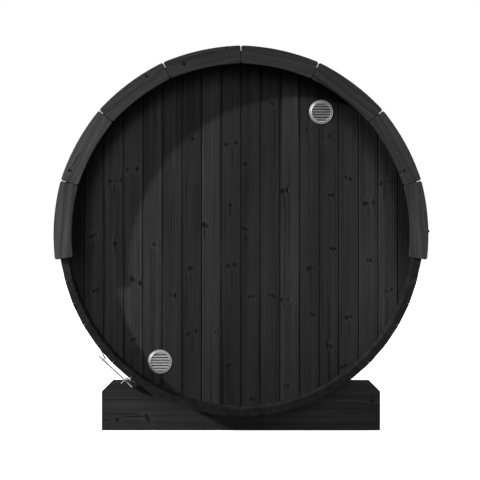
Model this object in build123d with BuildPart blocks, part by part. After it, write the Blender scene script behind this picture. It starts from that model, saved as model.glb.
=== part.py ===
from build123d import *
from math import acos, atan2, cos, degrees, hypot, radians, sin
import os

os.makedirs("parts", exist_ok=True)

# Barrel, seen along its axis: +X right, +Z up, the vented back end faces -Y.
barrel_length = 2400
outer_apothem = 1000
ground_clearance = 110

# Staves: flat boards with a bead on one side and a cove on the other.
stave_count = 48
stave_thickness = 40
stave_chamfer = 3
stave_gap = 0.3
bead_width = 15
bead_height = 5

# End walls, set back in the barrel and seated in a groove across the staves.
wall_recess = 125
wall_thickness = 40
groove_depth = 12
seat_clearance = 0.3

# Round louvred vents in the back wall, by angle and by distance from the staves.
vent_rim_radius = 68
vent_rim_height = 6
vent_rim_roll = 5
vent_roll_height = 5
vent_lip_width = 3
vent_hole_radius = 55
vent_tube_wall = 1.5
vent_tube_length = 34
louvre_count = 7
louvre_pitch = 15
louvre_slot = 6
louvre_thickness = 1.4
louvre_reach = 6
upper_vent_angle = 56.7
upper_vent_inset = 140
upper_louvre_shift = -1
lower_vent_angle = 237.6
lower_vent_inset = 114
lower_louvre_shift = -6

# Fascia boards, each cut to an arc a little flatter than the ring they make.
fascia_boards = 8
fascia_end_angle = -8.15
fascia_rise = 5.5
fascia_overhang = 29.5
fascia_width = 98.5
fascia_flattening = 3
fascia_thickness = 28
fascia_joint = 2.5
fascia_corner = 11
fascia_edge = 2
screw_head_radius = 8
screw_head_height = 7
screw_head_angle = 0.7

# Roof covering over the upper staves, between the two fascia rings.
roof_thickness = 8
roof_staves_below_axis = 1

# Steel bands, each drawn tight by a threaded rod between two lugs.
band_inset = 135
band_width = 30
band_thickness = 1.2
band_clearance = 0.15
rod_angle = 226.9
rod_height = 43.5
rod_radius = 5
rod_length = 255
rod_offset = 12
lug_spacing = 160
lug_thickness = 5
lug_base_height = 27
lug_height = 42
lug_foot_length = 30
lug_foot_thickness = 3
nut_flats = 16
nut_thickness = 8

# Cradles: one thick plank each, with a round seat and cut corners.
cradle_inset = 185
cradle_thickness = 70
cradle_width = 1576
cradle_height = 280
cradle_corner = 59
cradle_edge = 3

# Door in the front wall, with its frame, strap hinges and handle.
doorway_width = 650
wall_over_door = 186
wall_under_door = 110
frame_thickness = 34
door_proud = 14
door_thickness = 42
door_gap = 3
hinge_strap_length = 330
hinge_strap_height = 34
hinge_taper_angle = 88
hinge_thickness = 4
hinge_knuckle_radius = 8
hinge_plate_width = 26
hinge_plate_height = 68
hinge_inset = 250
handle_length = 340
handle_size = 32
handle_edge = 6
handle_standoff = 38
handle_peg_radius = 12
handle_peg_inset = 50
handle_edge_distance = 70

half_step = 180 / stave_count
stave_step = 360 / stave_count
inner_apothem = outer_apothem - stave_thickness
axis_height = outer_apothem + ground_clearance
half_length = barrel_length / 2
groove_radius = inner_apothem + groove_depth
wall_radius = groove_radius - seat_clearance
wall_face = half_length - wall_recess
wall_inner_face = wall_face - wall_thickness
band_places = {"back": band_inset - half_length, "front": half_length - band_inset}


def across(y):
    """Upright plane across the barrel at y, seen from the back end."""
    return Plane(origin=(0, y, axis_height), x_dir=(1, 0, 0), z_dir=(0, -1, 0))


def polar(radius, angle):
    return (radius * cos(radians(angle)), radius * sin(radians(angle)))


def stave_corner(apothem, joint):
    """Corner of the many-sided barrel at a numbered stave joint."""
    return polar(apothem / cos(radians(half_step)), joint * stave_step)


def save(piece, name):
    piece.part.label = name
    export_step(piece.part, f"parts/{name}.step")


def joint_point(distance, offset, side):
    """Point beside the joint line on one side (1 or -1) of a stave that lies along +X."""
    x, y = polar(distance, side * half_step)
    aside_x, aside_y = polar(offset, side * half_step + 90)
    return (x + aside_x, y + aside_y)


def joint_point_at(apothem, offset, side):
    """Point beside the joint line where it meets the flat at this apothem."""
    lean = radians(side * half_step)
    return joint_point((apothem + offset * sin(lean)) / cos(lean), offset, side)


# Staves, in eight groups round the barrel, with grooves across for the end walls.
bead_middle = (inner_apothem + outer_apothem) / 2 / cos(radians(half_step))
bead_start = bead_middle - bead_width / 2
bead_end = bead_middle + bead_width / 2

with BuildSketch() as stave_section:
    with BuildLine():
        bead = ThreePointArc(
            joint_point(bead_start, -stave_gap / 2, 1),
            joint_point(bead_middle, bead_height - stave_gap / 2, 1),
            joint_point(bead_end, -stave_gap / 2, 1),
        )
        Polyline(
            bead @ 1,
            joint_point_at(outer_apothem, -stave_gap / 2, 1),
            joint_point_at(outer_apothem, stave_gap / 2, -1),
            joint_point(bead_end, stave_gap / 2, -1),
        )
        cove = ThreePointArc(
            joint_point(bead_end, stave_gap / 2, -1),
            joint_point(bead_middle, bead_height + stave_gap / 2, -1),
            joint_point(bead_start, stave_gap / 2, -1),
        )
        Polyline(
            cove @ 1,
            joint_point_at(inner_apothem, stave_gap / 2, -1),
            joint_point_at(inner_apothem, -stave_gap / 2, 1),
            bead @ 0,
        )
    make_face()
    chamfer(stave_section.vertices().group_by(Axis.X)[-1], stave_chamfer)

sector_names = [
    "right_staves",
    "upper_right_staves",
    "top_staves",
    "upper_left_staves",
    "left_staves",
    "lower_left_staves",
    "bottom_staves",
    "lower_right_staves",
]
sector_angle = 360 / len(sector_names)
stave_angles = [(index + 0.5) * stave_step for index in range(stave_count)]

for sector, name in enumerate(sector_names):
    turns = [
        Location((0, 0, 0), (0, 0, angle))
        for angle in stave_angles
        if int((angle + sector_angle / 2) % 360 // sector_angle) == sector
    ]
    with BuildPart() as staves:
        with BuildSketch(across(half_length)):
            with Locations(*turns):
                add(stave_section.sketch)
        extrude(amount=barrel_length)
        with BuildSketch(across(wall_face), across(-wall_inner_face)):
            Circle(groove_radius)
        extrude(amount=wall_thickness, mode=Mode.SUBTRACT)
    save(staves, name)

# Back wall with its two vent holes.
upper_vent_place = polar(inner_apothem - upper_vent_inset, upper_vent_angle)
lower_vent_place = polar(inner_apothem - lower_vent_inset, lower_vent_angle)

with BuildPart() as back_wall:
    with BuildSketch(across(-wall_inner_face)):
        Circle(wall_radius)
        with Locations(upper_vent_place, lower_vent_place):
            Circle(vent_hole_radius, mode=Mode.SUBTRACT)
    extrude(amount=wall_thickness)
save(back_wall, "back_wall")

# Front wall, in four pieces round the doorway.
door_top = wall_radius - wall_over_door
door_bottom = wall_under_door - wall_radius
doorway_height = door_top - door_bottom
doorway_middle = (door_top + door_bottom) / 2
side_width = wall_radius - doorway_width / 2
side_middle = (wall_radius + doorway_width / 2) / 2
wall_cuts = {
    "front_wall_left": (-side_middle, 0, side_width, 2 * wall_radius),
    "front_wall_right": (side_middle, 0, side_width, 2 * wall_radius),
    "front_wall_over_door": (0, wall_radius - wall_over_door / 2, doorway_width, wall_over_door),
    "front_wall_under_door": (0, wall_under_door / 2 - wall_radius, doorway_width, wall_under_door),
}
for name, (x, z, width, height) in wall_cuts.items():
    with BuildPart() as wall_piece:
        with BuildSketch(across(wall_face)):
            Circle(wall_radius)
            with Locations((x, z)):
                Rectangle(width, height, mode=Mode.INTERSECT)
        extrude(amount=wall_thickness)
    save(wall_piece, name)

# Vents: a dished rim and a tube turned in one, with hooded louvres between two end plates.
tube_radius = vent_hole_radius - seat_clearance
tube_inner = tube_radius - vent_tube_wall
tube_middle = (tube_radius + tube_inner) / 2
dish_depth = vent_rim_height / 2
slat_height = louvre_pitch - louvre_slot
plate_edge = louvre_count / 2 * louvre_pitch - slat_height / 2

with BuildPart() as vent_ring:
    with BuildSketch(Plane.XZ):
        with BuildLine():
            roll = RadiusArc(
                (vent_rim_radius, 0),
                (vent_rim_radius - vent_rim_roll, vent_roll_height),
                -vent_rim_roll,
            )
            dish = Polyline(
                roll @ 1,
                ((vent_rim_radius + tube_radius) / 2, dish_depth),
                (tube_inner + vent_lip_width, vent_rim_height),
                (tube_inner, vent_rim_height),
                (tube_inner, -vent_tube_length),
                (tube_radius, -vent_tube_length),
                (tube_radius, 0),
                roll @ 0,
            )
        make_face()
    revolve(axis=Axis.Z)

with BuildSketch() as hood_section:
    with BuildLine():
        Polyline(
            (0, slat_height / 2),
            (0, slat_height / 2 - louvre_thickness),
            (louvre_reach - louvre_thickness, -slat_height / 2),
            (louvre_reach, -slat_height / 2),
            (louvre_reach, louvre_thickness - slat_height / 2),
            (louvre_thickness, slat_height / 2),
            close=True,
        )
    make_face()


def louvre_set(shift):
    """Louvres in the vent's own frame: +Z out of the wall, +Y up."""
    with BuildPart() as louvres:
        with BuildSketch(Plane(origin=(0, shift, 0), x_dir=(0, 0, 1), z_dir=(-1, 0, 0))):
            with GridLocations(0, louvre_pitch, 1, louvre_count - 1):
                add(hood_section.sketch)
        extrude(amount=tube_inner, both=True)
        with BuildSketch():
            Circle(tube_middle)
            with Locations((0, shift)):
                Rectangle(2 * vent_rim_radius, 2 * plate_edge, mode=Mode.SUBTRACT)
        extrude(amount=louvre_thickness)
        with BuildSketch():
            Circle(tube_middle)
        extrude(amount=louvre_reach, mode=Mode.INTERSECT)
    return louvres.part


# The upper vent is set the other way up, so its hoods open upwards.
vents = {
    "upper_vent": (upper_vent_place, louvre_set(-upper_louvre_shift), 180),
    "lower_vent": (lower_vent_place, louvre_set(lower_louvre_shift), 0),
}
for name, ((x, z), louvres, turn) in vents.items():
    seat = across(-wall_face).location * Location((x, z, 0), (0, 0, turn))
    with BuildPart(seat) as vent:
        add(vent_ring.part)
        add(louvres)
    save(vent, name)

# Fascia rings: arc-cut boards with eased corners, screwed to the stave ends.
board_angle = (180 - 2 * fascia_end_angle) / fascia_boards
fascia_outer_radius = outer_apothem + fascia_overhang
fascia_inner_radius = fascia_outer_radius - fascia_width
joint_angle = degrees(fascia_joint / fascia_outer_radius)


def fascia_arc(radius, start, stop):
    """Arc of one board: its ends on the radius, its middle drawn in a little."""
    ends = [polar(radius, start), polar(radius - fascia_flattening, (start + stop) / 2), polar(radius, stop)]
    return ThreePointArc(*[(x, z + fascia_rise) for x, z in ends])


def fascia_name(end, index):
    if index < fascia_boards / 2:
        return f"{end}_fascia_right_{index + 1}"
    return f"{end}_fascia_left_{fascia_boards - index}"


for index in range(fascia_boards):
    start = fascia_end_angle + index * board_angle + joint_angle / 2
    stop = start + board_angle - joint_angle
    with BuildPart() as board:
        with BuildSketch(across(-half_length)) as outline:
            with BuildLine():
                outer_arc = fascia_arc(fascia_outer_radius, start, stop)
                inner_arc = fascia_arc(fascia_inner_radius, start, stop)
                Line(outer_arc @ 0, inner_arc @ 0)
                Line(outer_arc @ 1, inner_arc @ 1)
            make_face()
            fillet(outline.vertices(), fascia_corner)
        extrude(amount=fascia_thickness)
        chamfer(board.faces().sort_by(Axis.Y)[0].edges(), fascia_edge)
    save(board, fascia_name("back", index))
    with BuildPart() as front_board:
        add(board.part)
        mirror(about=Plane.XZ, mode=Mode.REPLACE)
    save(front_board, fascia_name("front", index))

# Domed screw head on the right edge of the back fascia.
screw_x, screw_z = polar(fascia_outer_radius - fascia_flattening + seat_clearance, screw_head_angle)
screw_seat = Plane(
    origin=(screw_x, -half_length - fascia_thickness / 2, axis_height + fascia_rise + screw_z),
    x_dir=(0, 1, 0),
    z_dir=(cos(radians(screw_head_angle)), 0, sin(radians(screw_head_angle))),
)
with BuildPart() as fascia_screw:
    with BuildSketch(screw_seat):
        Circle(screw_head_radius)
    extrude(amount=screw_head_height)
    fillet(fascia_screw.faces().sort_by(Axis.X)[-1].edges(), screw_head_height / 2)
save(fascia_screw, "fascia_screw")

# Roof covering, laid on the flats of the upper staves, with relief for the bands under it.
roof_apothem = outer_apothem + seat_clearance
roof_top_apothem = roof_apothem + roof_thickness
band_inner_apothem = outer_apothem + band_clearance
band_outer_apothem = band_inner_apothem + band_thickness
relief_apothem = band_outer_apothem + seat_clearance
relief_width = band_width + 2 * seat_clearance
roof_joints = range(-roof_staves_below_axis, round(stave_count / 2) + roof_staves_below_axis + 1)

with BuildPart() as roof:
    with BuildSketch(across(half_length)):
        with BuildLine():
            under_side = Polyline(*[stave_corner(roof_apothem, joint) for joint in roof_joints])
            upper_side = Polyline(*[stave_corner(roof_top_apothem, joint) for joint in roof_joints])
            Line(under_side @ 0, upper_side @ 0)
            Line(under_side @ 1, upper_side @ 1)
        make_face()
    extrude(amount=barrel_length)
    with BuildSketch(*[across(place + relief_width / 2) for place in band_places.values()]):
        with BuildLine():
            Polyline(*[stave_corner(relief_apothem, joint) for joint in range(stave_count)], close=True)
        make_face()
    extrude(amount=relief_width, mode=Mode.SUBTRACT)
save(roof, "roof_covering")

# Bands: each lies on the flats of the staves and leaves them in a straight line to its lugs.
rod_line = outer_apothem + rod_height
lug_base = outer_apothem + lug_base_height
band_end_height = lug_base + band_thickness
lug_angle = degrees(atan2(lug_spacing / 2, lug_base))
leave_angle = lug_angle + degrees(acos(outer_apothem / hypot(lug_base, lug_spacing / 2)))
band_joints = range(
    round((rod_angle + leave_angle) / stave_step),
    round((rod_angle - leave_angle) / stave_step) + stave_count + 1,
)


def by_rod(height, along):
    """Point by its distance from the barrel's axis at the rod, and its place along the rod."""
    x, z = polar(height, rod_angle)
    aside_x, aside_z = polar(along, rod_angle + 90)
    return (x + aside_x, z + aside_z)


def rod_plane(y, along):
    """Plane square to the rod, its x along the barrel and its y away from the axis."""
    x, z = by_rod(rod_line, along)
    direction_x, direction_z = polar(1, rod_angle + 90)
    return Plane(origin=(x, y, axis_height + z), x_dir=(0, 1, 0), z_dir=(direction_x, 0, direction_z))


def band_line(apothem, end_height, end_along):
    """Line of a band's inner or outer side, from one lug round the barrel to the other."""
    return Polyline(
        by_rod(end_height, end_along),
        *[stave_corner(apothem, joint) for joint in band_joints],
        by_rod(end_height, -end_along),
    )


band_end_along = (lug_spacing + lug_thickness) / 2 + band_clearance
for end, place in band_places.items():
    with BuildPart() as band:
        with BuildSketch(across(place + band_width / 2)):
            with BuildLine():
                inner_line = band_line(band_inner_apothem, lug_base, band_end_along)
                outer_line = band_line(band_outer_apothem, band_end_height, band_end_along)
                Line(inner_line @ 0, outer_line @ 0)
                Line(inner_line @ 1, outer_line @ 1)
            make_face()
        extrude(amount=band_width)
    save(band, f"{end}_band")

# Lugs: upright plates with a foot that lies on the end of the band, drilled for the rod.
foot_height = band_end_height + band_clearance

for end, place in band_places.items():
    with BuildPart() as lugs:
        for side, joint, foot_align in ((1, band_joints[0], Align.MAX), (-1, band_joints[-1], Align.MIN)):
            plate_x, plate_z = by_rod(lug_base + lug_height / 2, side * lug_spacing / 2)
            foot_x, foot_z = by_rod(foot_height, side * band_end_along)
            corner_x, corner_z = stave_corner(band_outer_apothem + band_clearance, joint)
            foot_angle = degrees(atan2(corner_z - foot_z, corner_x - foot_x))
            with BuildSketch(across(place + band_width / 2)):
                with Locations(Location((plate_x, plate_z, 0), (0, 0, rod_angle))):
                    Rectangle(lug_height, lug_thickness)
                with Locations(Location((foot_x, foot_z, 0), (0, 0, foot_angle))):
                    with Locations((-lug_thickness / 2, 0)):
                        Rectangle(lug_foot_length, lug_foot_thickness, align=(Align.MIN, foot_align))
            extrude(amount=band_width)
        with BuildSketch(rod_plane(place, -rod_length / 2)):
            Circle(rod_radius + seat_clearance)
        extrude(amount=rod_length, mode=Mode.SUBTRACT)
    save(lugs, f"{end}_band_lugs")

# Rods, with a nut outside each lug.
for end, place in band_places.items():
    with BuildPart() as rod:
        with BuildSketch(rod_plane(place, rod_offset - rod_length / 2)):
            Circle(rod_radius)
        extrude(amount=rod_length)
        nut_seat = (lug_spacing + lug_thickness) / 2 + seat_clearance
        nut_starts = (nut_seat, -nut_seat - nut_thickness)
        with BuildSketch(*[rod_plane(place, along) for along in nut_starts]):
            RegularPolygon(nut_flats / 2, 6, major_radius=False)
        extrude(amount=nut_thickness)
    save(rod, f"{end}_band_rod")

# Cradles.
seat_radius = outer_apothem / cos(radians(half_step)) + seat_clearance
cradle_places = {
    "back": cradle_inset + cradle_thickness - half_length,
    "front": half_length - cradle_inset,
}

for end, place in cradle_places.items():
    with BuildPart() as cradle:
        with BuildSketch(across(place)) as plank:
            with Locations((0, cradle_height / 2 - axis_height)):
                Rectangle(cradle_width, cradle_height)
            chamfer(plank.vertices().group_by(Axis.Y)[-1], cradle_corner)
            Circle(seat_radius, mode=Mode.SUBTRACT)
        extrude(amount=cradle_thickness)
        chamfer(cradle.faces().filter_by(Axis.Y).edges(), cradle_edge)
    save(cradle, f"{end}_cradle")

# Door frame: two posts, a head and a sill lining the doorway.
frame_face = wall_face + door_proud
post_place = (doorway_width - frame_thickness) / 2 - seat_clearance
rail_place = (doorway_height - frame_thickness) / 2 - seat_clearance

with BuildPart() as door_frame:
    with BuildSketch(across(frame_face)):
        with Locations((0, doorway_middle)):
            with GridLocations(2 * post_place, 0, 2, 1):
                Rectangle(frame_thickness, doorway_height - 2 * seat_clearance)
            with GridLocations(0, 2 * rail_place, 1, 2):
                Rectangle(2 * post_place - frame_thickness - 2 * seat_clearance, frame_thickness)
    extrude(amount=wall_thickness + door_proud)
save(door_frame, "door_frame")

# Door leaf, shut in its frame and flush with it.
leaf_edge = frame_thickness + seat_clearance + door_gap
leaf_width = doorway_width - 2 * leaf_edge
leaf_height = doorway_height - 2 * leaf_edge

with BuildPart() as door:
    with BuildSketch(across(frame_face)):
        with Locations((0, doorway_middle)):
            Rectangle(leaf_width, leaf_height)
    extrude(amount=door_thickness)
save(door, "door")

# Strap hinges, laid on the leaf, with a knuckle over the gap and a plate on the post.
knuckle_place = (leaf_width + door_gap) / 2
hinge_places = [doorway_middle + side * (leaf_height / 2 - hinge_inset) for side in (-1, 1)]

with BuildPart() as hinges:
    with BuildSketch(across(frame_face + hinge_thickness)):
        with Locations(*[(knuckle_place - hinge_strap_length / 2, z) for z in hinge_places]):
            Trapezoid(hinge_strap_height, hinge_strap_length, hinge_taper_angle, rotation=90)
        with Locations(*[(knuckle_place + hinge_plate_width / 2, z) for z in hinge_places]):
            Rectangle(hinge_plate_width, hinge_plate_height)
    extrude(amount=hinge_thickness)
    knuckle_feet = [axis_height + z - hinge_strap_height / 2 for z in hinge_places]
    with BuildSketch(*[Plane.XY.offset(z) for z in knuckle_feet]):
        with Locations((knuckle_place, frame_face + hinge_knuckle_radius)):
            Circle(hinge_knuckle_radius)
    extrude(amount=hinge_strap_height)
save(hinges, "door_hinges")

# Handle: an upright wooden bar on two pegs.
handle_place = (handle_edge_distance - leaf_width / 2, doorway_middle)

with BuildPart() as handle:
    with BuildSketch(across(frame_face + handle_standoff + handle_size)):
        with Locations(handle_place):
            RectangleRounded(handle_size, handle_length, handle_size / 4)
    extrude(amount=handle_size)
    fillet(handle.faces().filter_by(Axis.Y).edges(), handle_edge)
    with BuildSketch(across(frame_face + handle_standoff)):
        with Locations(handle_place):
            with GridLocations(0, handle_length - 2 * handle_peg_inset, 1, 2):
                Circle(handle_peg_radius)
    extrude(amount=handle_standoff)
save(handle, "door_handle")
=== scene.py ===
import math
import random

import bmesh
import bpy
from mathutils import Matrix, Vector


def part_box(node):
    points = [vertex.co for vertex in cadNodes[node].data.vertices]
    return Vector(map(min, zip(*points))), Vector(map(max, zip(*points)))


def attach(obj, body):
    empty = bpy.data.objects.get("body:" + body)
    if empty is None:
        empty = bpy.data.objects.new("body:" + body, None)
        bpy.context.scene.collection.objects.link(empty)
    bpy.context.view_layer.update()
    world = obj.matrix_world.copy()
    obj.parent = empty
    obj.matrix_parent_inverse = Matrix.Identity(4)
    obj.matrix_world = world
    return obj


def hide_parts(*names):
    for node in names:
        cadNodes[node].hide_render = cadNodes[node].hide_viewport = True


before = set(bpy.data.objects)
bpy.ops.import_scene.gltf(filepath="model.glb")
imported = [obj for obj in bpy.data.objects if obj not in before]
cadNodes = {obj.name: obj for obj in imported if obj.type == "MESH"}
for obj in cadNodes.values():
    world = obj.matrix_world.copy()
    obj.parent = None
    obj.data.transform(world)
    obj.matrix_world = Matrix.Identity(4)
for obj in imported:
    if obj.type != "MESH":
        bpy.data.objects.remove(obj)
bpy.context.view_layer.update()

# what the pieces below are placed by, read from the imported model
bandLow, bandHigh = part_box("front_band")
wallLow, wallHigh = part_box("back_wall")
frontWallLow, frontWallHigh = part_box("front_wall_left")
leafLow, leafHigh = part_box("door")
axisHeight = bandHigh.z - (bandHigh.x - bandLow.x) / 2
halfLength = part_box("right_staves")[1].y
wallRadius = (wallHigh.x - wallLow.x) / 2

# the camera stands on the barrel's own axis, square to the vented end
view = {
    "imagePixels": 480,
    "axisPixel": (240.98, 234.34),   # where the barrel's axis meets the photograph
    "focalPixels": 1163.8,
    "distance": 7.6,                 # metres from the barrel's middle
    "sensor": 36,
}

camera = bpy.data.cameras.new("camera")
camera.sensor_width = view["sensor"]
camera.lens = view["sensor"] * view["focalPixels"] / view["imagePixels"]
camera.shift_x = 0.5 - view["axisPixel"][0] / view["imagePixels"]
camera.shift_y = view["axisPixel"][1] / view["imagePixels"] - 0.5
cameraObject = bpy.data.objects.new("camera", camera)
cameraObject.location = (0, -view["distance"], axisHeight)
cameraObject.rotation_euler = (math.radians(90), 0, 0)
bpy.context.scene.collection.objects.link(cameraObject)
bpy.context.scene.camera = cameraObject
print("camera set")


# helpers for node trees: a value that is a socket is linked, any other is typed in
def feed(tree, socket, value):
    if isinstance(value, bpy.types.NodeSocket):
        tree.links.new(value, socket)
    else:
        socket.default_value = value


def addNode(tree, kind, sockets=None, **settings):
    node = tree.nodes.new("ShaderNode" + kind)
    for name, value in settings.items():
        setattr(node, name, value)
    for name, value in (sockets or {}).items():
        feed(tree, node.inputs[name], value)
    return node


def calc(tree, operation, *values):
    node = addNode(tree, "Math", operation=operation)
    for place, value in enumerate(values):
        feed(tree, node.inputs[place], value)
    return node.outputs[0]


def vectorCalc(tree, operation, *values):
    node = addNode(tree, "VectorMath", operation=operation)
    for place, value in enumerate(values):
        feed(tree, node.inputs[place], value)
    return node.outputs["Value" if operation == "LENGTH" else "Vector"]


# four numbers in a dictionary below are a span of some value and what its two ends become
def remap(tree, value, fromLow, fromHigh, toLow, toHigh):
    sockets = {"Value": value, "From Min": fromLow, "From Max": fromHigh,
               "To Min": toLow, "To Max": toHigh}
    return addNode(tree, "MapRange", sockets, interpolation_type="SMOOTHSTEP").outputs[0]


def parts(tree, vector):
    return addNode(tree, "SeparateXYZ", {0: vector}).outputs


def joined(tree, x, y, z):
    return addNode(tree, "CombineXYZ", {0: x, 1: y, 2: z}).outputs[0]


# 1 less a share of a mask
def less(tree, mask, share=1.0):
    return calc(tree, "SUBTRACT", 1, calc(tree, "MULTIPLY", mask, share))


def product(tree, result, *factors):
    for factor in factors:
        result = calc(tree, "MULTIPLY", result, factor)
    return result


# a colour made darker or paler by a factor
def scaled(tree, colour, factor):
    return addNode(tree, "VectorMath", {0: colour, "Scale": factor}, operation="SCALE").outputs["Vector"]


def objectPlace(tree):
    return addNode(tree, "TexCoord").outputs["Object"]


# stretch is how closely the noise changes along each direction, for a point in metres
def noise(tree, vector, stretch, detail=2.0, roughness=0.5):
    stretched = vectorCalc(tree, "MULTIPLY", vector, stretch)
    sockets = {"Vector": stretched, "Scale": 1.0, "Detail": detail, "Roughness": roughness}
    return addNode(tree, "TexNoise", sockets).outputs[0]


def newGroup(name, inputs, outputs):
    tree = bpy.data.node_groups.new(name, "ShaderNodeTree")
    for label, kind in inputs.items():
        tree.interface.new_socket(label, in_out="INPUT", socket_type="NodeSocket" + kind)
    for label, kind in outputs.items():
        tree.interface.new_socket(label, in_out="OUTPUT", socket_type="NodeSocket" + kind)
    source = tree.nodes.new("NodeGroupInput")
    target = tree.nodes.new("NodeGroupOutput")
    return tree, source.outputs, target.inputs


def useGroup(tree, group, sockets):
    node = tree.nodes.new("ShaderNodeGroup")
    node.node_tree = group
    for name, value in sockets.items():
        feed(tree, node.inputs[name], value)
    return node.outputs


farAway = 9.0    # metres, where a knot is put that a board doesn't have

# a branch whorl in a board: two dark knots of unlike size, a faint broken line between them, at times a
# dark split along the grain, and a paler ring round both
knotLook = {
    "fray": (190, 120, 60),           # the noise that makes the outlines ragged
    "slopes": 1.1,                    # a pair's slope is drawn from a range this wide
    "coreSize": (0, 1, 0.004, 0.0125),
    "coreSquash": (0.2, 0.9, 0.55, 1.1),    # along the grain: below 1 the knot is drawn out
    "coreFray": 1.6,
    "coreEdge": (0.4, 1.35),          # an edge is where the shape starts to fade and where it ends, in sizes
    "lineWidth": 0.003,
    "lineFray": 4,
    "lineEdge": (0.2, 1.7),
    "lineStrength": 0.42,
    "splitAbove": 0.66,               # only pairs that draw more than this have a split
    "splitLength": (0.5, 1, 0.03, 0.085),
    "splitWidth": 0.005,
    "splitAside": (0, 1, -0.008, 0.008),
    "splitBelow": 0.85,               # how far its middle lies below the knots, in its own lengths
    "splitBow": 0.004,
    "splitEdge": (0.2, 1.1),
    "splitStrength": 0.85,
    "haloSquash": 0.5,
    "haloReach": (0.004, 0.028),
}


# Place and Knot are (across the board, along the grain) in metres, Reach is half the knots' spacing and
# Size makes the knots larger or smaller
def makeKnotGroup():
    tree, given, result = newGroup(
        "knotPair",
        {"Place": "Vector", "Knot": "Vector", "Reach": "Float", "Size": "Float"},
        {"Core": "Float", "Halo": "Float"},
    )
    look = knotLook
    place = parts(tree, given["Place"])
    knot = parts(tree, given["Knot"])
    drawn = addNode(tree, "TexWhiteNoise", {"W": knot[1]}, noise_dimensions="1D")
    chance = parts(tree, drawn.outputs["Color"])
    ragged = calc(tree, "SUBTRACT", noise(tree, given["Place"], look["fray"], 3), 0.5)
    sideways = calc(tree, "SUBTRACT", place[0], knot[0])
    slope = calc(tree, "MULTIPLY", calc(tree, "SUBTRACT", chance[0], 0.5), look["slopes"])
    risen = calc(tree, "SUBTRACT", place[1], knot[1])
    upwards = calc(tree, "SUBTRACT", risen, calc(tree, "MULTIPLY", sideways, slope))
    fromKnot = calc(tree, "SUBTRACT", calc(tree, "ABSOLUTE", sideways), given["Reach"])
    beyond = calc(tree, "MAXIMUM", fromKnot, 0)

    rightHand = calc(tree, "GREATER_THAN", sideways, 0)
    sizeChance = addNode(tree, "Mix", {0: rightHand, 2: chance[1], 3: chance[2]}).outputs[0]
    size = calc(tree, "MULTIPLY", remap(tree, sizeChance, *look["coreSize"]), given["Size"])
    squash = remap(tree, sizeChance, *look["coreSquash"])
    coreWay = vectorCalc(tree, "LENGTH", joined(tree, fromKnot, calc(tree, "MULTIPLY", upwards, squash), 0))
    coreFray = calc(tree, "MULTIPLY", ragged, look["coreFray"])
    coreRatio = calc(tree, "ADD", calc(tree, "DIVIDE", coreWay, size), coreFray)
    core = remap(tree, coreRatio, *look["coreEdge"], 1, 0)

    lineWay = vectorCalc(tree, "LENGTH", joined(tree, beyond, upwards, 0))
    lineFray = calc(tree, "MULTIPLY", ragged, look["lineFray"])
    lineRatio = calc(tree, "ADD", calc(tree, "DIVIDE", lineWay, look["lineWidth"]), lineFray)
    line = remap(tree, lineRatio, *look["lineEdge"], look["lineStrength"], 0)

    splitLength = remap(tree, chance[1], *look["splitLength"])
    aside = calc(tree, "SUBTRACT", sideways, remap(tree, chance[2], *look["splitAside"]))
    bowed = calc(tree, "ADD", aside, calc(tree, "MULTIPLY", ragged, look["splitBow"]))
    splitAlong = calc(tree, "ADD", upwards, calc(tree, "MULTIPLY", splitLength, look["splitBelow"]))
    inWidths = calc(tree, "DIVIDE", bowed, look["splitWidth"])
    inLengths = calc(tree, "DIVIDE", splitAlong, splitLength)
    splitRatio = vectorCalc(tree, "LENGTH", joined(tree, inWidths, inLengths, 0))
    splitHere = calc(tree, "GREATER_THAN", chance[1], look["splitAbove"])
    split = product(tree, remap(tree, splitRatio, *look["splitEdge"], look["splitStrength"], 0), splitHere)

    haloHeight = calc(tree, "MULTIPLY", upwards, look["haloSquash"])
    haloWay = vectorCalc(tree, "LENGTH", joined(tree, beyond, haloHeight, 0))
    feed(tree, result["Core"], calc(tree, "MAXIMUM", core, calc(tree, "MAXIMUM", line, split)))
    feed(tree, result["Halo"], remap(tree, haloWay, *look["haloReach"], 1, 0))
    return tree


knotPair = makeKnotGroup()


# sawn softwood under a dark stain, the same grain in three directions, so end faces show rings
grainLook = {
    "shift": (9, 23, 7),              # each board is cut from elsewhere in the noise, this far away at most
    "whorlSpacing": 0.46,             # whorls that nobody placed by hand, one at most in each such stretch
    "whorlSeed": 3.7,
    "whorlAcross": 0.06,
    "whorlAlong": (0, 1, 0.15, 0.85),    # in stretches
    "whorlReach": 0.035,
    "bend": (0.012, 0.05),            # how far the fibres part round a knot, across and along
    "wander": (5, 0.9, 5),
    "wanderReach": 0.11,
    "ringWidth": 0.0135,
    "streaks": (38, 0.55, 38),
    "clouds": (7, 1.6, 7),
    "fibres": (620, 11, 620),
    "cracks": (74, 1.25, 74),
    "crackEdge": (0.645, 0.72),
    "tones": {"streak": (0.2, 0.8, 0.6, 1.4), "cloud": (0.2, 0.8, 0.82, 1.18),
              "fibre": (0.2, 0.8, 0.86, 1.14)},
    "losses": {"lateWood": 0.15, "crack": 0.55, "halo": -0.12, "core": 0.84},
    "heights": {"fibre": 0.5, "lateWood": 0.35, "crack": -1.3, "core": -0.6},
    "coreGloss": -0.4,
}


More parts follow.
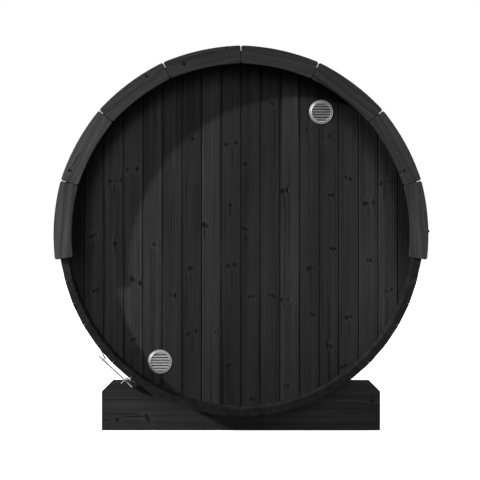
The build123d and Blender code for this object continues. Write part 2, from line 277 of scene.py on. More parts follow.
# Place is (across, along, through) in metres, Board a number that sets one board off from the next
def makeGrainGroup():
    tree, given, result = newGroup(
        "timberGrain",
        {"Place": "Vector", "Board": "Float", "Core": "Float", "Halo": "Float", "Spread": "Float",
         "Whorls": "Float"},
        {"Tone": "Float", "Gloss": "Float", "Height": "Float"},
    )
    look = grainLook
    chance = addNode(tree, "TexWhiteNoise", {"W": given["Board"]}, noise_dimensions="1D")
    shift = vectorCalc(tree, "MULTIPLY", chance.outputs["Color"], look["shift"])
    place = parts(tree, given["Place"])

    spacing = look["whorlSpacing"]
    stretch = calc(tree, "FLOOR", calc(tree, "DIVIDE", place[1], spacing))
    cell = joined(tree, stretch, given["Board"], look["whorlSeed"])
    cellNoise = addNode(tree, "TexWhiteNoise", {"Vector": cell}, noise_dimensions="3D")
    cellChance = parts(tree, cellNoise.outputs["Color"])
    whorlAcross = calc(tree, "MULTIPLY", calc(tree, "SUBTRACT", cellChance[0], 0.5), look["whorlAcross"])
    upStretch = calc(tree, "ADD", stretch, remap(tree, cellChance[1], *look["whorlAlong"]))
    absent = calc(tree, "MULTIPLY", calc(tree, "GREATER_THAN", cellChance[2], given["Whorls"]), farAway)
    whorlAlong = calc(tree, "MULTIPLY", upStretch, spacing)
    whorlPlace = joined(tree, calc(tree, "ADD", whorlAcross, absent), whorlAlong, 0)
    whorlReach = calc(tree, "MULTIPLY", cellChance[2], look["whorlReach"])
    whorl = useGroup(tree, knotPair, {"Place": given["Place"], "Knot": whorlPlace, "Reach": whorlReach,
                                      "Size": 1.0})
    core = calc(tree, "MAXIMUM", given["Core"], whorl["Core"])
    halo = calc(tree, "MAXIMUM", given["Halo"], whorl["Halo"])

    moved = vectorCalc(tree, "ADD", given["Place"], shift)
    bend = joined(tree, *(calc(tree, "MULTIPLY", halo, reach) for reach in look["bend"]), 0)
    moved = vectorCalc(tree, "ADD", moved, bend)
    wander = calc(tree, "MULTIPLY", noise(tree, moved, look["wander"], 2), look["wanderReach"])
    across = calc(tree, "ADD", parts(tree, moved)[0], wander)
    wave = calc(tree, "SINE", calc(tree, "MULTIPLY", across, 2 * math.pi / look["ringWidth"]))
    masks = {
        "lateWood": remap(tree, wave, 0.1, 1, 0, 1),
        "streak": noise(tree, moved, look["streaks"], 4, 0.6),
        "cloud": noise(tree, moved, look["clouds"], 2),
        "fibre": noise(tree, moved, look["fibres"], 2),
        "crack": remap(tree, noise(tree, moved, look["cracks"], 1), *look["crackEdge"], 0, 1),
        "core": core,
        "halo": halo,
    }

    lighter = calc(tree, "SUBTRACT", chance.outputs["Value"], 0.5)
    tone = calc(tree, "ADD", 1, calc(tree, "MULTIPLY", lighter, given["Spread"]))
    for mask, tones in look["tones"].items():
        tone = product(tree, tone, remap(tree, masks[mask], *tones))
    for mask, loss in look["losses"].items():
        tone = product(tree, tone, less(tree, masks[mask], loss))
    height = 0.0
    for mask, rise in look["heights"].items():
        height = calc(tree, "ADD", height, calc(tree, "MULTIPLY", masks[mask], rise))
    gloss = calc(tree, "ADD", masks["streak"], calc(tree, "MULTIPLY", core, look["coreGloss"]))
    feed(tree, result["Tone"], tone)
    feed(tree, result["Height"], height)
    feed(tree, result["Gloss"], gloss)
    return tree


timberGrain = makeGrainGroup()


# which board of a round row a point is in, and the same point turned to that board's own directions:
# X outwards, Y along the barrel and Z along the round
def makeRoundGroup():
    tree, given, result = newGroup(
        "boardInRound",
        {"Point": "Vector", "Axis Height": "Float", "First Angle": "Float", "Step": "Float"},
        {"Turned": "Vector", "Number": "Float", "Angle": "Float"},
    )
    centred = vectorCalc(tree, "SUBTRACT", given["Point"], joined(tree, 0, 0, given["Axis Height"]))
    way = parts(tree, centred)
    angle = calc(tree, "ARCTAN2", way[2], way[0])
    around = calc(tree, "FLOORED_MODULO", calc(tree, "SUBTRACT", angle, given["First Angle"]), 2 * math.pi)
    number = calc(tree, "FLOOR", calc(tree, "DIVIDE", around, given["Step"]))
    halfway = calc(tree, "MULTIPLY", calc(tree, "ADD", number, 0.5), given["Step"])
    middle = calc(tree, "ADD", given["First Angle"], halfway)
    turned = addNode(tree, "VectorRotate", {"Vector": centred, "Angle": middle}, rotation_type="Y_AXIS")
    feed(tree, result["Turned"], turned.outputs[0])
    feed(tree, result["Number"], number)
    feed(tree, result["Angle"], angle)
    return tree


boardInRound = makeRoundGroup()


# dust and rain marks that gather low down and on whatever faces up
dustLook = {
    "facing": (0.2, 1),
    "heights": (0.02, 0.35),
    "lowAmount": 0.6,
    "patches": (9, 9, 9),
    "patchEdge": (0.4, 0.75),
}


def makeDustGroup():
    tree, given, result = newGroup("dust", {"Amount": "Float"}, {"Mask": "Float"})
    where = objectPlace(tree)
    facing = parts(tree, addNode(tree, "NewGeometry").outputs["Normal"])[2]
    upward = remap(tree, facing, *dustLook["facing"], 0, 1)
    low = remap(tree, parts(tree, where)[2], *dustLook["heights"], dustLook["lowAmount"], 0)
    patchy = remap(tree, noise(tree, where, dustLook["patches"], 5, 0.65), *dustLook["patchEdge"], 0, 1)
    total = product(tree, calc(tree, "ADD", upward, low), patchy, given["Amount"])
    feed(tree, result["Mask"], calc(tree, "MINIMUM", total, 1))
    return tree


dustMask = makeDustGroup()


def newMaterial(name):
    material = bpy.data.materials.new(name)
    material.use_nodes = True
    material.node_tree.nodes.clear()
    return material, material.node_tree


# bump is (strength, depth in metres)
def finishMaterial(tree, colour, roughness, height, bump, sockets):
    relief = addNode(tree, "Bump", {"Height": height, "Strength": bump[0], "Distance": bump[1]})
    surface = {"Base Color": colour, "Roughness": roughness, "Normal": relief.outputs[0], **sockets}
    shader = addNode(tree, "BsdfPrincipled", surface)
    addNode(tree, "OutputMaterial", {"Surface": shader.outputs[0]})


stain = {
    "colour": (0.02, 0.02, 0.0202),
    "dustColour": (0.12, 0.118, 0.115, 1),
    "rough": (0.25, 0.75, 0.8, 0.6),
    "bump": (0.55, 0.0009),
    "specular": 0.1,
}


# stained timber: coordinates gives where a point is in its board, the board's number, a shade factor that
# carries painted shade as well as the boards' tones, and a list of knots, each as sockets or values for Knot,
# Reach and Size
def timberMaterial(name, settings, coordinates):
    material, tree = newMaterial(name)
    place, board, shade, knots = coordinates(tree)
    core = halo = 0.0
    for knot, reach, size in knots:
        pair = useGroup(tree, knotPair, {"Place": place, "Knot": knot, "Reach": reach, "Size": size})
        core = calc(tree, "MAXIMUM", pair["Core"], core)
        halo = calc(tree, "MAXIMUM", pair["Halo"], halo)
    grain = useGroup(tree, timberGrain, {"Place": place, "Board": board, "Core": core, "Halo": halo,
                                         "Spread": settings["spread"], "Whorls": settings["whorls"]})
    stained = scaled(tree, stain["colour"], product(tree, grain["Tone"], shade, settings["tone"]))
    dust = useGroup(tree, dustMask, {"Amount": settings["dust"]})
    colour = addNode(tree, "Mix", {0: dust["Mask"], 6: stained, 7: stain["dustColour"]}, data_type="RGBA")
    roughness = remap(tree, grain["Gloss"], *stain["rough"])
    finishMaterial(tree, colour.outputs[2], roughness, grain["Height"], stain["bump"],
                   {"Specular IOR Level": stain["specular"]})
    return material


# boards that carry their own coordinates and knots as attributes
def boardCoordinates(tree):
    centred = vectorCalc(tree, "SUBTRACT", objectPlace(tree), (0, 0, axisHeight))
    level = parts(tree, centred)
    fromAxis = vectorCalc(tree, "LENGTH", joined(tree, level[0], 0, level[2]))
    place = addNode(tree, "Attribute", attribute_name="place").outputs["Vector"]
    board = addNode(tree, "Attribute", attribute_name="board").outputs["Fac"]
    chosen = addNode(tree, "Attribute", attribute_name="tone").outputs["Fac"]

    # painted shade under the fascia, and a painted shadow close under it at the left
    paintedShadeByHeight = remap(tree, level[2], *walls["paintedShadeHeights"], 0, walls["paintedShadeStrength"])
    sideways = calc(tree, "MULTIPLY", calc(tree, "ABSOLUTE", level[0]), walls["paintedShadeSides"])
    rim = remap(tree, calc(tree, "ADD", fromAxis, sideways), *walls["paintedShadeRadii"], 0, 1)
    leftShadowBySide = remap(tree, level[0], *walls["leftShadowSides"], walls["leftShadowStrength"], 0)
    leftShadowByHeight = remap(tree, level[2], *walls["leftShadowHeights"], 0, 1)
    paintedLeftShadow = product(tree, leftShadowBySide, leftShadowByHeight, remap(tree, fromAxis, *walls["leftShadowRadii"], 0, 1))

    # towards the foot, and beside the seams in patches
    lowDown = remap(tree, level[2], *walls["footHeights"], walls["footShade"], 1)
    nearSeam = remap(tree, calc(tree, "ABSOLUTE", parts(tree, place)[0]), *walls["seamReach"], 0, 1)
    soil = noise(tree, centred, walls["seamPatches"], 2)
    gathered = remap(tree, soil, *walls["seamPatchEdge"], 0, walls["seamSoil"])

    shade = product(tree, less(tree, rim, paintedShadeByHeight), less(tree, paintedLeftShadow), lowDown, chosen,
                    less(tree, nearSeam, gathered))
    knots = []
    for letter in knotLetters:
        knot = addNode(tree, "Attribute", attribute_name="knot" + letter).outputs["Vector"]
        size = addNode(tree, "Attribute", attribute_name="size" + letter).outputs["Fac"]
        knots.append((knot, parts(tree, knot)[2], size))
    return place, board, shade, knots


# painted shade: darker towards the top and the bottom of the round, and towards its right side, away from the
# light on the left
def paintedRoundShade(tree, angle, settings):
    upright = calc(tree, "ABSOLUTE", calc(tree, "SINE", angle))
    drop = product(tree, calc(tree, "POWER", upright, settings["paintedTopPower"]), settings["paintedTopShade"])
    side = calc(tree, "MULTIPLY", calc(tree, "COSINE", angle), settings["paintedRightShade"])
    return calc(tree, "SUBTRACT", less(tree, drop), side)


# staves run along the barrel, and their ends are painted palest at the barrel's left side, towards the light
def staveCoordinates(tree):
    row = {"Axis Height": axisHeight, "First Angle": 0.0, "Step": math.radians(staves["boardAngle"])}
    found = useGroup(tree, boardInRound, {"Point": objectPlace(tree), **row})
    turned = parts(tree, found["Turned"])
    place = joined(tree, turned[2], turned[1], turned[0])
    endFace = calc(tree, "GREATER_THAN", calc(tree, "ABSOLUTE", turned[1]), halfLength - staves["endDepth"])
    endPaintedShade = paintedRoundShade(tree, found["Angle"], staves)
    shade = addNode(tree, "Mix", {0: endFace, 2: staves["sideTone"], 3: endPaintedShade})
    return place, found["Number"], shade.outputs[0], []


# fascia boards run round the end, so their grain follows the tangent
def fasciaCoordinates(tree):
    row = {"Axis Height": fascia["axisHeight"], "First Angle": math.radians(fascia["firstAngle"]),
           "Step": math.radians(fascia["boardAngle"])}
    found = useGroup(tree, boardInRound, {"Point": objectPlace(tree), **row})
    turned = parts(tree, found["Turned"])
    place = joined(tree, turned[0], turned[2], turned[1])
    front = calc(tree, "GREATER_THAN", turned[1], 0)
    board = calc(tree, "ADD", found["Number"], calc(tree, "MULTIPLY", front, fascia["frontNumbers"]))
    knots = []
    for x, z, reach in fascia["knots"]:
        seat = useGroup(tree, boardInRound, {"Point": (x, 0, z), **row})
        spot = parts(tree, seat["Turned"])
        onBoard = calc(tree, "COMPARE", seat["Number"], board, 0.5)
        elsewhere = calc(tree, "SUBTRACT", farAway, calc(tree, "MULTIPLY", onBoard, farAway))
        knots.append((joined(tree, calc(tree, "ADD", spot[0], elsewhere), spot[2], 0), reach, 1.0))
    # the fascia's shade is painted by angle round the end, palest at the left
    return place, board, paintedRoundShade(tree, found["Angle"], fascia), knots


# planks on edge, with the grain along X
def plankCoordinates(tree):
    where = parts(tree, objectPlace(tree))
    front = calc(tree, "GREATER_THAN", where[1], 0)
    knots = [((z, x, 0), reach, 1.0) for x, z, reach in cradle["knots"]]
    return joined(tree, where[2], where[0], where[1]), front, 1.0, knots


# posts and rails of the doorway, with the grain along Z
def doorwayCoordinates(tree):
    where = parts(tree, objectPlace(tree))
    return joined(tree, where[0], where[2], where[1]), doorway["boardNumber"], 1.0, []


knotLetters = "ABCD"
walls = {
    "pitch": 0.11,
    "gap": 0.0018,
    "groove": 0.0045,                 # width of the chamfer on each side of a seam
    "tongueDepths": (0.012, 0.022),   # how far behind the face the tongue lies
    "rimSegments": 144,
    "ventHole": 0.055,
    "holeSegments": 64,
    "cutBeyond": 0.1,                 # how far the cutters of holes and doorway reach past the boards' faces
    "paintedShadeRadii": (0.816, 0.941),   # painted shade: darker under the fascia, where the recess lies in shade
    "paintedShadeSides": 0.03,             # the painted dark band is wider at the barrel's sides
    "paintedShadeHeights": (-0.42, 0.1),
    "paintedShadeStrength": 0.67,
    "leftShadowRadii": (0.85, 0.905),       # painted shadow: a further dark line close under the fascia at the left side
    "leftShadowSides": (-0.62, -0.25),
    "leftShadowHeights": (-0.26, -0.06),
    "leftShadowStrength": 0.66,
    "seamReach": (0.038, 0.053),      # stain gathers beside some seams, this far from a board's middle
    "seamPatches": (9, 9, 1.1),
    "seamPatchEdge": (0.42, 0.66),
    "seamSoil": 0.42,
    "footHeights": (-0.95, -0.2),     # and the wall is darker towards its foot
    "footShade": 0.74,
    "tone": 1.0, "spread": 0.36, "whorls": 0.0, "dust": 0.0,
}
staves = {
    "boardAngle": 7.5,                # degrees
    "tone": 0.8, "spread": 0.3, "whorls": 0.5, "dust": 0.1,
    # painted shade of the ends by angle round the barrel
    "paintedTopShade": 0.675, "paintedTopPower": 1.2, "paintedRightShade": 0.16,
    "sideTone": 0.95, "endDepth": 0.0005,
}
fasciaBelow = 8.15                    # degrees that the fascia goes on below the height of its middle
fascia = {
    "axisHeight": axisHeight + 0.0055,    # its middle is a little above the barrel's axis
    "firstAngle": -fasciaBelow,
    "boardAngle": (180 + 2 * fasciaBelow) / 8,
    "frontNumbers": 31,               # what sets the front end's boards off from the back end's
    "tone": 1.95, "spread": 0.1, "whorls": 0.0, "dust": 0.1,
    # painted shade by angle round the end
    "paintedTopShade": 0.48, "paintedTopPower": 2.2, "paintedRightShade": 0.18,
    "knots": [(-0.31, 2.04, 0.004), (-0.08, 2.13, 0.004), (-0.515, 1.975, 0.006), (-0.62, 1.57, 0.005),
              (-0.94, 1.46, 0.004), (0.885, 1.455, 0.012)],
}
cradle = {
    "tone": 1.08, "spread": 0.2, "whorls": 0.4, "dust": 0.05,
    "knots": [(-0.53, 0.072, 0.012), (-0.70, 0.065, 0.003), (0.745, 0.165, 0.006)],
}
doorway = {"boardNumber": 5.0, "tone": 1.0, "spread": 0.2, "whorls": 0.4, "dust": 0.05}

wallTimber = timberMaterial("wall_boards", walls, boardCoordinates)
staveTimber = timberMaterial("barrel_staves", staves, staveCoordinates)
fasciaTimber = timberMaterial("fascia_boards", fascia, fasciaCoordinates)
cradleTimber = timberMaterial("cradle_planks", cradle, plankCoordinates)
doorwayTimber = timberMaterial("doorway_timber", doorway, doorwayCoordinates)


# brushed steel and blackened steel
metals = {
    "vent": {"colour": (0.42, 0.42, 0.42), "rough": (0.5, 0.64), "brush": (40, 40, 900), "metal": 0.9},
    "band": {"colour": (0.33, 0.33, 0.33), "rough": (0.4, 0.55), "brush": (60, 700, 60), "metal": 1.0},
    "rod": {"colour": (0.6, 0.6, 0.6), "rough": (0.45, 0.6), "brush": (160, 160, 160), "metal": 0.75},
    "dark": {"colour": (0.035, 0.035, 0.036), "rough": (0.42, 0.6), "brush": (120, 120, 120), "metal": 0.6},
}
metalWear = {
    "smudges": (14, 14, 14),
    "brushTones": (0.3, 0.7, 0.88, 1.06),
    "smudgeLoss": (0.35, 0.75, 0, -0.16),
    "roughSpan": (0.35, 0.65),
    "bump": (0.12, 0.0002),
}


def metalMaterial(name, settings):
    material, tree = newMaterial(name)
    where = objectPlace(tree)
    brushed = noise(tree, where, settings["brush"], 3, 0.6)
    smudge = noise(tree, where, metalWear["smudges"], 4, 0.6)
    brushTone = remap(tree, brushed, *metalWear["brushTones"])
    smudgeLoss = remap(tree, smudge, *metalWear["smudgeLoss"])
    colour = scaled(tree, settings["colour"], calc(tree, "ADD", brushTone, smudgeLoss))
    mean = calc(tree, "MULTIPLY", calc(tree, "ADD", brushed, smudge), 0.5)
    rough = remap(tree, mean, *metalWear["roughSpan"], *settings["rough"])
    finishMaterial(tree, colour, rough, brushed, metalWear["bump"], {"Metallic": settings["metal"]})
    return material


ventMetal = metalMaterial("vent_steel", metals["vent"])
bandSteel = metalMaterial("band_steel", metals["band"])
rodSteel = metalMaterial("rod_steel", metals["rod"])
darkSteel = metalMaterial("dark_steel", metals["dark"])


# mineral granules pressed into bitumen
felt = {
    "colour": (0.024, 0.024, 0.025),
    "granules": 520.0,                # in a metre
    "granuleTones": (0, 1, 0.45, 1.7),
    "tabTones": (0, 1, 0.84, 1.16),
    "weather": (5, 3, 5),
    "weatherTones": (0.3, 0.7, 0.85, 1.15),
    "rough": (0, 1, 0.95, 0.75),
    "bump": (0.5, 0.0012),
    "specular": 0.25,
}


def roofMaterial():
    material, tree = newMaterial("roof_felt")
    where = objectPlace(tree)
    tab = addNode(tree, "Attribute", attribute_name="board").outputs["Fac"]
    tabChance = addNode(tree, "TexWhiteNoise", {"W": tab}, noise_dimensions="1D").outputs["Value"]
    cells = addNode(tree, "TexVoronoi", {"Vector": where, "Scale": felt["granules"]})
    speck = parts(tree, cells.outputs["Color"])[0]
    weather = noise(tree, where, felt["weather"], 4, 0.6)
    tone = product(tree, remap(tree, speck, *felt["granuleTones"]), remap(tree, tabChance, *felt["tabTones"]),
                   remap(tree, weather, *felt["weatherTones"]))
    rough = remap(tree, speck, *felt["rough"])
    finishMaterial(tree, scaled(tree, felt["colour"], tone), rough, less(tree, cells.outputs["Distance"]),
                   felt["bump"], {"Specular IOR Level": felt["specular"]})
    return material


roofFelt = roofMaterial()
print("materials made")


def assign(nodeNames, material):
    for name in nodeNames:
        slots = cadNodes[name].data.materials
        for place in range(len(slots)):
            slots[place] = material
        if not slots:
            slots.append(material)


def named(*words):
    return [name for name in sorted(cadNodes) if any(word in name for word in words)]


assign(named("_staves"), staveTimber)
assign(named("_fascia_"), fasciaTimber)
assign(["back_cradle", "front_cradle"], cradleTimber)
assign(["door_frame", "door_handle"], doorwayTimber)
assign(named("_vent"), ventMetal)
assign(["back_band", "front_band"], bandSteel)
assign(named("_lugs", "_rod"), rodSteel)
assign(["fascia_screw", "door_hinges"], darkSteel)


def newPiece(name, mesh, material, slot, *nodes):
    for polygon in mesh.polygons:
        polygon.use_smooth = False
    mesh.materials.clear()
    mesh.materials.append(material)
    piece = bpy.data.objects.new(name, mesh)
    bpy.context.scene.collection.objects.link(piece)
    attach(piece, "root")
    if nodes:
        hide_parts(*nodes)
    return piece


def toMesh(bm, name):
    mesh = bpy.data.meshes.new(name)
    bm.to_mesh(mesh)
    bm.free()
    return mesh


# several meshes under way become one, in the order given
def together(bodies):
    whole = bmesh.new()
    for body in bodies:
        mesh = toMesh(body, "part")
        whole.from_mesh(mesh)
        bpy.data.meshes.remove(mesh)
    return whole


touching = 1e-5    # metres, closer than this is taken as the same place


# one board of a boarded panel: the panel's outline cut to the board's width and made thick, with its seam
# edges eased
def oneBoard(outline, low, high, faceY, backY, easing):
    bm = outline()
    for edgeX, keepRight in ((low, True), (high, False)):
        everything = bm.verts[:] + bm.edges[:] + bm.faces[:]
        bmesh.ops.bisect_plane(bm, geom=everything, dist=1e-6, plane_co=(edgeX, 0, 0), plane_no=(1, 0, 0),
                               clear_inner=keepRight, clear_outer=not keepRight)
    bmesh.ops.translate(bm, verts=bm.verts[:], vec=(0, backY, 0))
    thick = bmesh.ops.extrude_face_region(bm, geom=bm.faces[:])["geom"]
    raised = [part for part in thick if isinstance(part, bmesh.types.BMVert)]
    bmesh.ops.translate(bm, verts=raised, vec=(0, faceY - backY, 0))
    if not easing:
        return bm
    eased = []
    for edge in bm.edges:
        (x0, y0, _), (x1, y1, _) = edge.verts[0].co, edge.verts[1].co
        onFace = max(abs(y0 - faceY), abs(y1 - faceY)) < touching
        onSeam = abs(x0 - x1) < touching and min(abs(x0 - low), abs(x0 - high)) < touching
        if onFace and onSeam:
            eased.append(edge)
    bmesh.ops.bevel(bm, geom=eased, offset=easing, affect="EDGES", segments=1, profile=0.5, material=-1)
    return bm


def wallOutline():
    bm = bmesh.new()
    made = bmesh.ops.create_circle(bm, cap_ends=True, radius=wallRadius, segments=walls["rimSegments"])
    turn = Matrix.Rotation(math.radians(90), 4, "X")
    bmesh.ops.transform(bm, matrix=Matrix.Translation((0, 0, axisHeight)) @ turn, verts=made["verts"])
    return bm


# takes each cutter's shape out of a board
def cutAway(bm, cutters):
    lowX, highX = min(v.co.x for v in bm.verts), max(v.co.x for v in bm.verts)
    body = bpy.data.objects.new("cutting", toMesh(bm, "cutting"))
    bpy.context.scene.collection.objects.link(body)
    for cutter in cutters:
        corners = [corner[0] for corner in cutter.bound_box]
        if min(corners) < highX and max(corners) > lowX:
            modifier = body.modifiers.new("cut", "BOOLEAN")
            modifier.operation = "DIFFERENCE"
            modifier.solver = "EXACT"
            modifier.object = cutter
    result = bmesh.new()
    result.from_object(body, bpy.context.evaluated_depsgraph_get())
    bpy.data.objects.remove(body)
    return result


# a wall or door leaf of tongue and groove boards between seams, with the cutters' shapes taken out
def boardedPanel(outline, seams, faceY, backY, cutters=()):
    gap = walls["gap"] / 2
    bodies = [oneBoard(outline, low + gap, high - gap, faceY, backY, walls["groove"])
              for low, high in zip(seams, seams[1:])]
    inward = math.copysign(1, backY - faceY)
    near, far = (faceY + inward * depth for depth in walls["tongueDepths"])
    bodies += [oneBoard(outline, seam - gap, seam + gap, near, far, 0) for seam in seams[1:-1]]
    tools = []
    for cutter in cutters:
        tool = bpy.data.objects.new("cutter", toMesh(cutter, "cutter"))
        bpy.context.scene.collection.objects.link(tool)
        tools.append(tool)
    bm = together([cutAway(body, tools) if tools else body for body in bodies])
    for tool in tools:
        bpy.data.objects.remove(tool)
    bmesh.ops.recalc_face_normals(bm, faces=bm.faces[:])
    return bm


def setAttribute(mesh, name, kind, values):
    attribute = mesh.attributes.new(name, kind, "POINT")
    for item, value in zip(attribute.data, values):
        if kind == "FLOAT":
            item.value = value
        else:
            item.vector = value


# writes each point's place in its board, the board's number, its tone and its knots
def markBoards(mesh, pitch, firstX, firstNumber, knotsOf, toneOf):
    boards = [math.floor((vert.co.x - firstX) / pitch) for vert in mesh.vertices]
    places = []
    for vert, board in zip(mesh.vertices, boards):
        middle = firstX + (board + 0.5) * pitch
        places.append((vert.co.x - middle, vert.co.z, vert.co.y))
    setAttribute(mesh, "board", "FLOAT", [firstNumber + board for board in boards])
    setAttribute(mesh, "place", "FLOAT_VECTOR", places)
    setAttribute(mesh, "tone", "FLOAT", [toneOf.get(board, 1.0) for board in boards])
    nowhere = (0, -farAway, 0)
    for place, letter in enumerate(knotLetters):
        chosen = {}
        for board in set(boards):
            knots = knotsOf.get(board, [])
            chosen[board] = knots[place] if place < len(knots) else nowhere
        setAttribute(mesh, "knot" + letter, "FLOAT_VECTOR", [chosen[board][:3] for board in boards])
        # a fourth number, where there is one, is the knots' size
        setAttribute(mesh, "size" + letter, "FLOAT", [(*chosen[board], 1.0)[3] for board in boards])


# knots of the vented wall, by board counted from the middle seam: (across from the board's middle,
# height above the ground, half the spacing of the pair, and a size where the knots are large or small)
wallKnots = {
    -8: [(0.0, 1.105, 0.012), (0.01, 0.795, 0.012)],
    -7: [(0.01, 1.41, 0.03), (0.0, 1.06, 0.01)],
    -6: [(-0.005, 1.475, 0.028), (0.017, 0.848, 0.022, 1.5), (0.0, 0.52, 0.01)],
    -5: [(0.005, 1.055, 0.004)],
    -4: [(0.002, 0.77, 0.012)],
    -3: [(0.005, 1.645, 0.004), (-0.01, 0.92, 0.006), (0.0, 0.56, 0.02), (-0.02, 0.165, 0.012)],
    -2: [(-0.034, 1.16, 0.008, 1.5), (0.03, 0.565, 0.01)],
    -1: [(0.0, 1.62, 0.028), (0.0, 1.275, 0.004), (0.0, 0.938, 0.02, 1.3), (-0.01, 0.375, 0.006)],
    0: [(-0.035, 1.5, 0.004), (-0.03, 1.14, 0.01), (0.0, 0.76, 0.01), (0.01, 0.185, 0.01)],
    1: [(0.01, 1.845, 0.006), (0.0, 0.77, 0.012)],
    2: [(-0.03, 1.355, 0.012, 1.5), (-0.03, 0.745, 0.02), (-0.02, 0.26, 0.008)],
    3: [(0.0, 1.7, 0.015), (0.0, 0.92, 0.008), (0.02, 0.66, 0.008)],
    4: [(-0.02, 1.655, 0.02), (0.01, 1.33, 0.008), (0.02, 1.03, 0.01), (0.0, 0.485, 0.01)],
    5: [(-0.005, 1.425, 0.013), (0.0, 0.645, 0.012), (-0.03, 0.37, 0.01)],
    6: [(0.004, 1.285, 0.024, 1.5), (0.0, 0.965, 0.01)],
    7: [(-0.02, 1.4, 0.02), (0.005, 0.795, 0.015)],
}

# how pale each board of the vented wall took the stain
wallTones = {-9: 1.2, -8: 1.35, -7: 1.65, -6: 1.4, -5: 1.26, -4: 1.16, -3: 1.0, -2: 1.3, -1: 0.86, 0: 0.74,
             1: 0.92, 2: 1.03, 3: 0.93, 4: 0.82, 5: 0.83, 6: 1.18, 7: 1.25, 8: 1.05}

# the other boards' knots are drawn by chance, each within a stretch of its board
frontKnots = {"count": 4, "aside": 0.025, "lowest": 0.3, "apart": 0.45, "wander": 0.35,
              "reach": (0.003, 0.025)}
leafKnots = {"count": 3, "aside": 0.025, "lowest": 0.35, "apart": 0.5, "wander": 0.4,
             "reach": (0.003, 0.02)}

# the number of each panel's board 0, so that no two boards have the same grain
firstNumbers = {"back": 100, "front": 200, "leaf": 300}


def drawnKnots(boards, settings):
    found = {}
    for board in boards:
        found[board] = []
        for step in range(settings["count"]):
            aside = random.uniform(-settings["aside"], settings["aside"])
            height = settings["lowest"] + settings["apart"] * step + random.uniform(0, settings["wander"])
            found[board].append((aside, height, random.uniform(*settings["reach"])))
    return found


# a round cutter along Y, from y0 to y1
def cylinder(radius, x, z, y0, y1):
    bm = bmesh.new()
    made = bmesh.ops.create_cone(bm, cap_ends=True, segments=walls["holeSegments"], radius1=radius,
                                 radius2=radius, depth=y1 - y0)
    turn = Matrix.Translation((x, (y0 + y1) / 2, z)) @ Matrix.Rotation(math.radians(90), 4, "X")
    bmesh.ops.transform(bm, matrix=turn, verts=made["verts"])
    return bm


def blockBetween(low, high):
    bm = bmesh.new()
    made = bmesh.ops.create_cube(bm, size=1)
    size = [b - a for a, b in zip(low, high)]
    middle = [(a + b) / 2 for a, b in zip(low, high)]
    bmesh.ops.scale(bm, vec=size, verts=made["verts"])
    bmesh.ops.translate(bm, vec=middle, verts=made["verts"])
    return bm


wallHalf = math.ceil(wallRadius / walls["pitch"])    # boards on each side of the middle seam
wallSeams = [walls["pitch"] * step for step in range(-wallHalf, wallHalf + 1)]
holes = []
for vent in ("upper_vent", "lower_vent"):
    ventLow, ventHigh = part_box(vent)
    holes.append(cylinder(walls["ventHole"], (ventLow.x + ventHigh.x) / 2, (ventLow.z + ventHigh.z) / 2,
                          wallLow.y - walls["cutBeyond"], wallHigh.y + walls["cutBeyond"]))
backBoards = toMesh(boardedPanel(wallOutline, wallSeams, wallLow.y, wallHigh.y, holes), "back_wall_boards")
markBoards(backBoards, walls["pitch"], 0, firstNumbers["back"], wallKnots, wallTones)
newPiece("back_wall_boards", backBoards, wallTimber, "wall_timber", "back_wall")

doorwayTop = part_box("front_wall_over_door")[0].z
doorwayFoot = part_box("front_wall_under_door")[1].z
doorwayBlock = blockBetween((frontWallHigh.x, frontWallLow.y - walls["cutBeyond"], doorwayFoot),
                            (-frontWallHigh.x, frontWallHigh.y + walls["cutBeyond"], doorwayTop))
frontPanel = boardedPanel(wallOutline, wallSeams, frontWallHigh.y, frontWallLow.y, [doorwayBlock])
frontBoards = toMesh(frontPanel, "front_wall_boards")
random.seed(4)
frontDrawn = drawnKnots(range(-wallHalf, wallHalf), frontKnots)
markBoards(frontBoards, walls["pitch"], 0, firstNumbers["front"], frontDrawn, {})
newPiece("front_wall_boards", frontBoards, wallTimber, "wall_timber", "front_wall_left", "front_wall_right",
         "front_wall_over_door", "front_wall_under_door")
print("walls boarded")


# the door's leaf, boarded like the walls
leaf = {"boards": 5}


def leafOutline():
    bm = bmesh.new()
    made = bmesh.ops.create_grid(bm, x_segments=1, y_segments=1, size=0.5)
    bmesh.ops.scale(bm, vec=(leafHigh.x - leafLow.x, leafHigh.z - leafLow.z, 1), verts=made["verts"])
    turn = Matrix.Rotation(math.radians(90), 4, "X")
    middle = ((leafLow.x + leafHigh.x) / 2, 0, (leafLow.z + leafHigh.z) / 2)
    bmesh.ops.transform(bm, matrix=Matrix.Translation(middle) @ turn, verts=made["verts"])
    return bm


leafPitch = (leafHigh.x - leafLow.x) / leaf["boards"]
leafSeams = [leafLow.x + leafPitch * step for step in range(leaf["boards"] + 1)]
leafBoards = toMesh(boardedPanel(leafOutline, leafSeams, leafHigh.y, leafLow.y), "door_boards")
leafDrawn = drawnKnots(range(leaf["boards"]), leafKnots)
markBoards(leafBoards, leafPitch, leafLow.x, firstNumbers["leaf"], leafDrawn, {})
newPiece("door_boards", leafBoards, wallTimber, "door_timber", "door")
print("door boarded")


# bitumen shingles in courses along the barrel, on a sheet of underlay
roof = {
    "lowest": -7.2,               # degrees, where the roofing ends on each side
    "exposure": 0.143,
    "overlap": 0.022,
    "tabLength": 0.331,
    "shortestTab": 0.018,
    "slot": 0.006,
    "thickness": 0.003,
    "bedRadius": 1.0048,
    "underlay": 0.001,
    "edge": 0.001,                # how far it stays back from the barrel's ends
    "tabCuts": 3,
    "underlayCuts": 63,
}


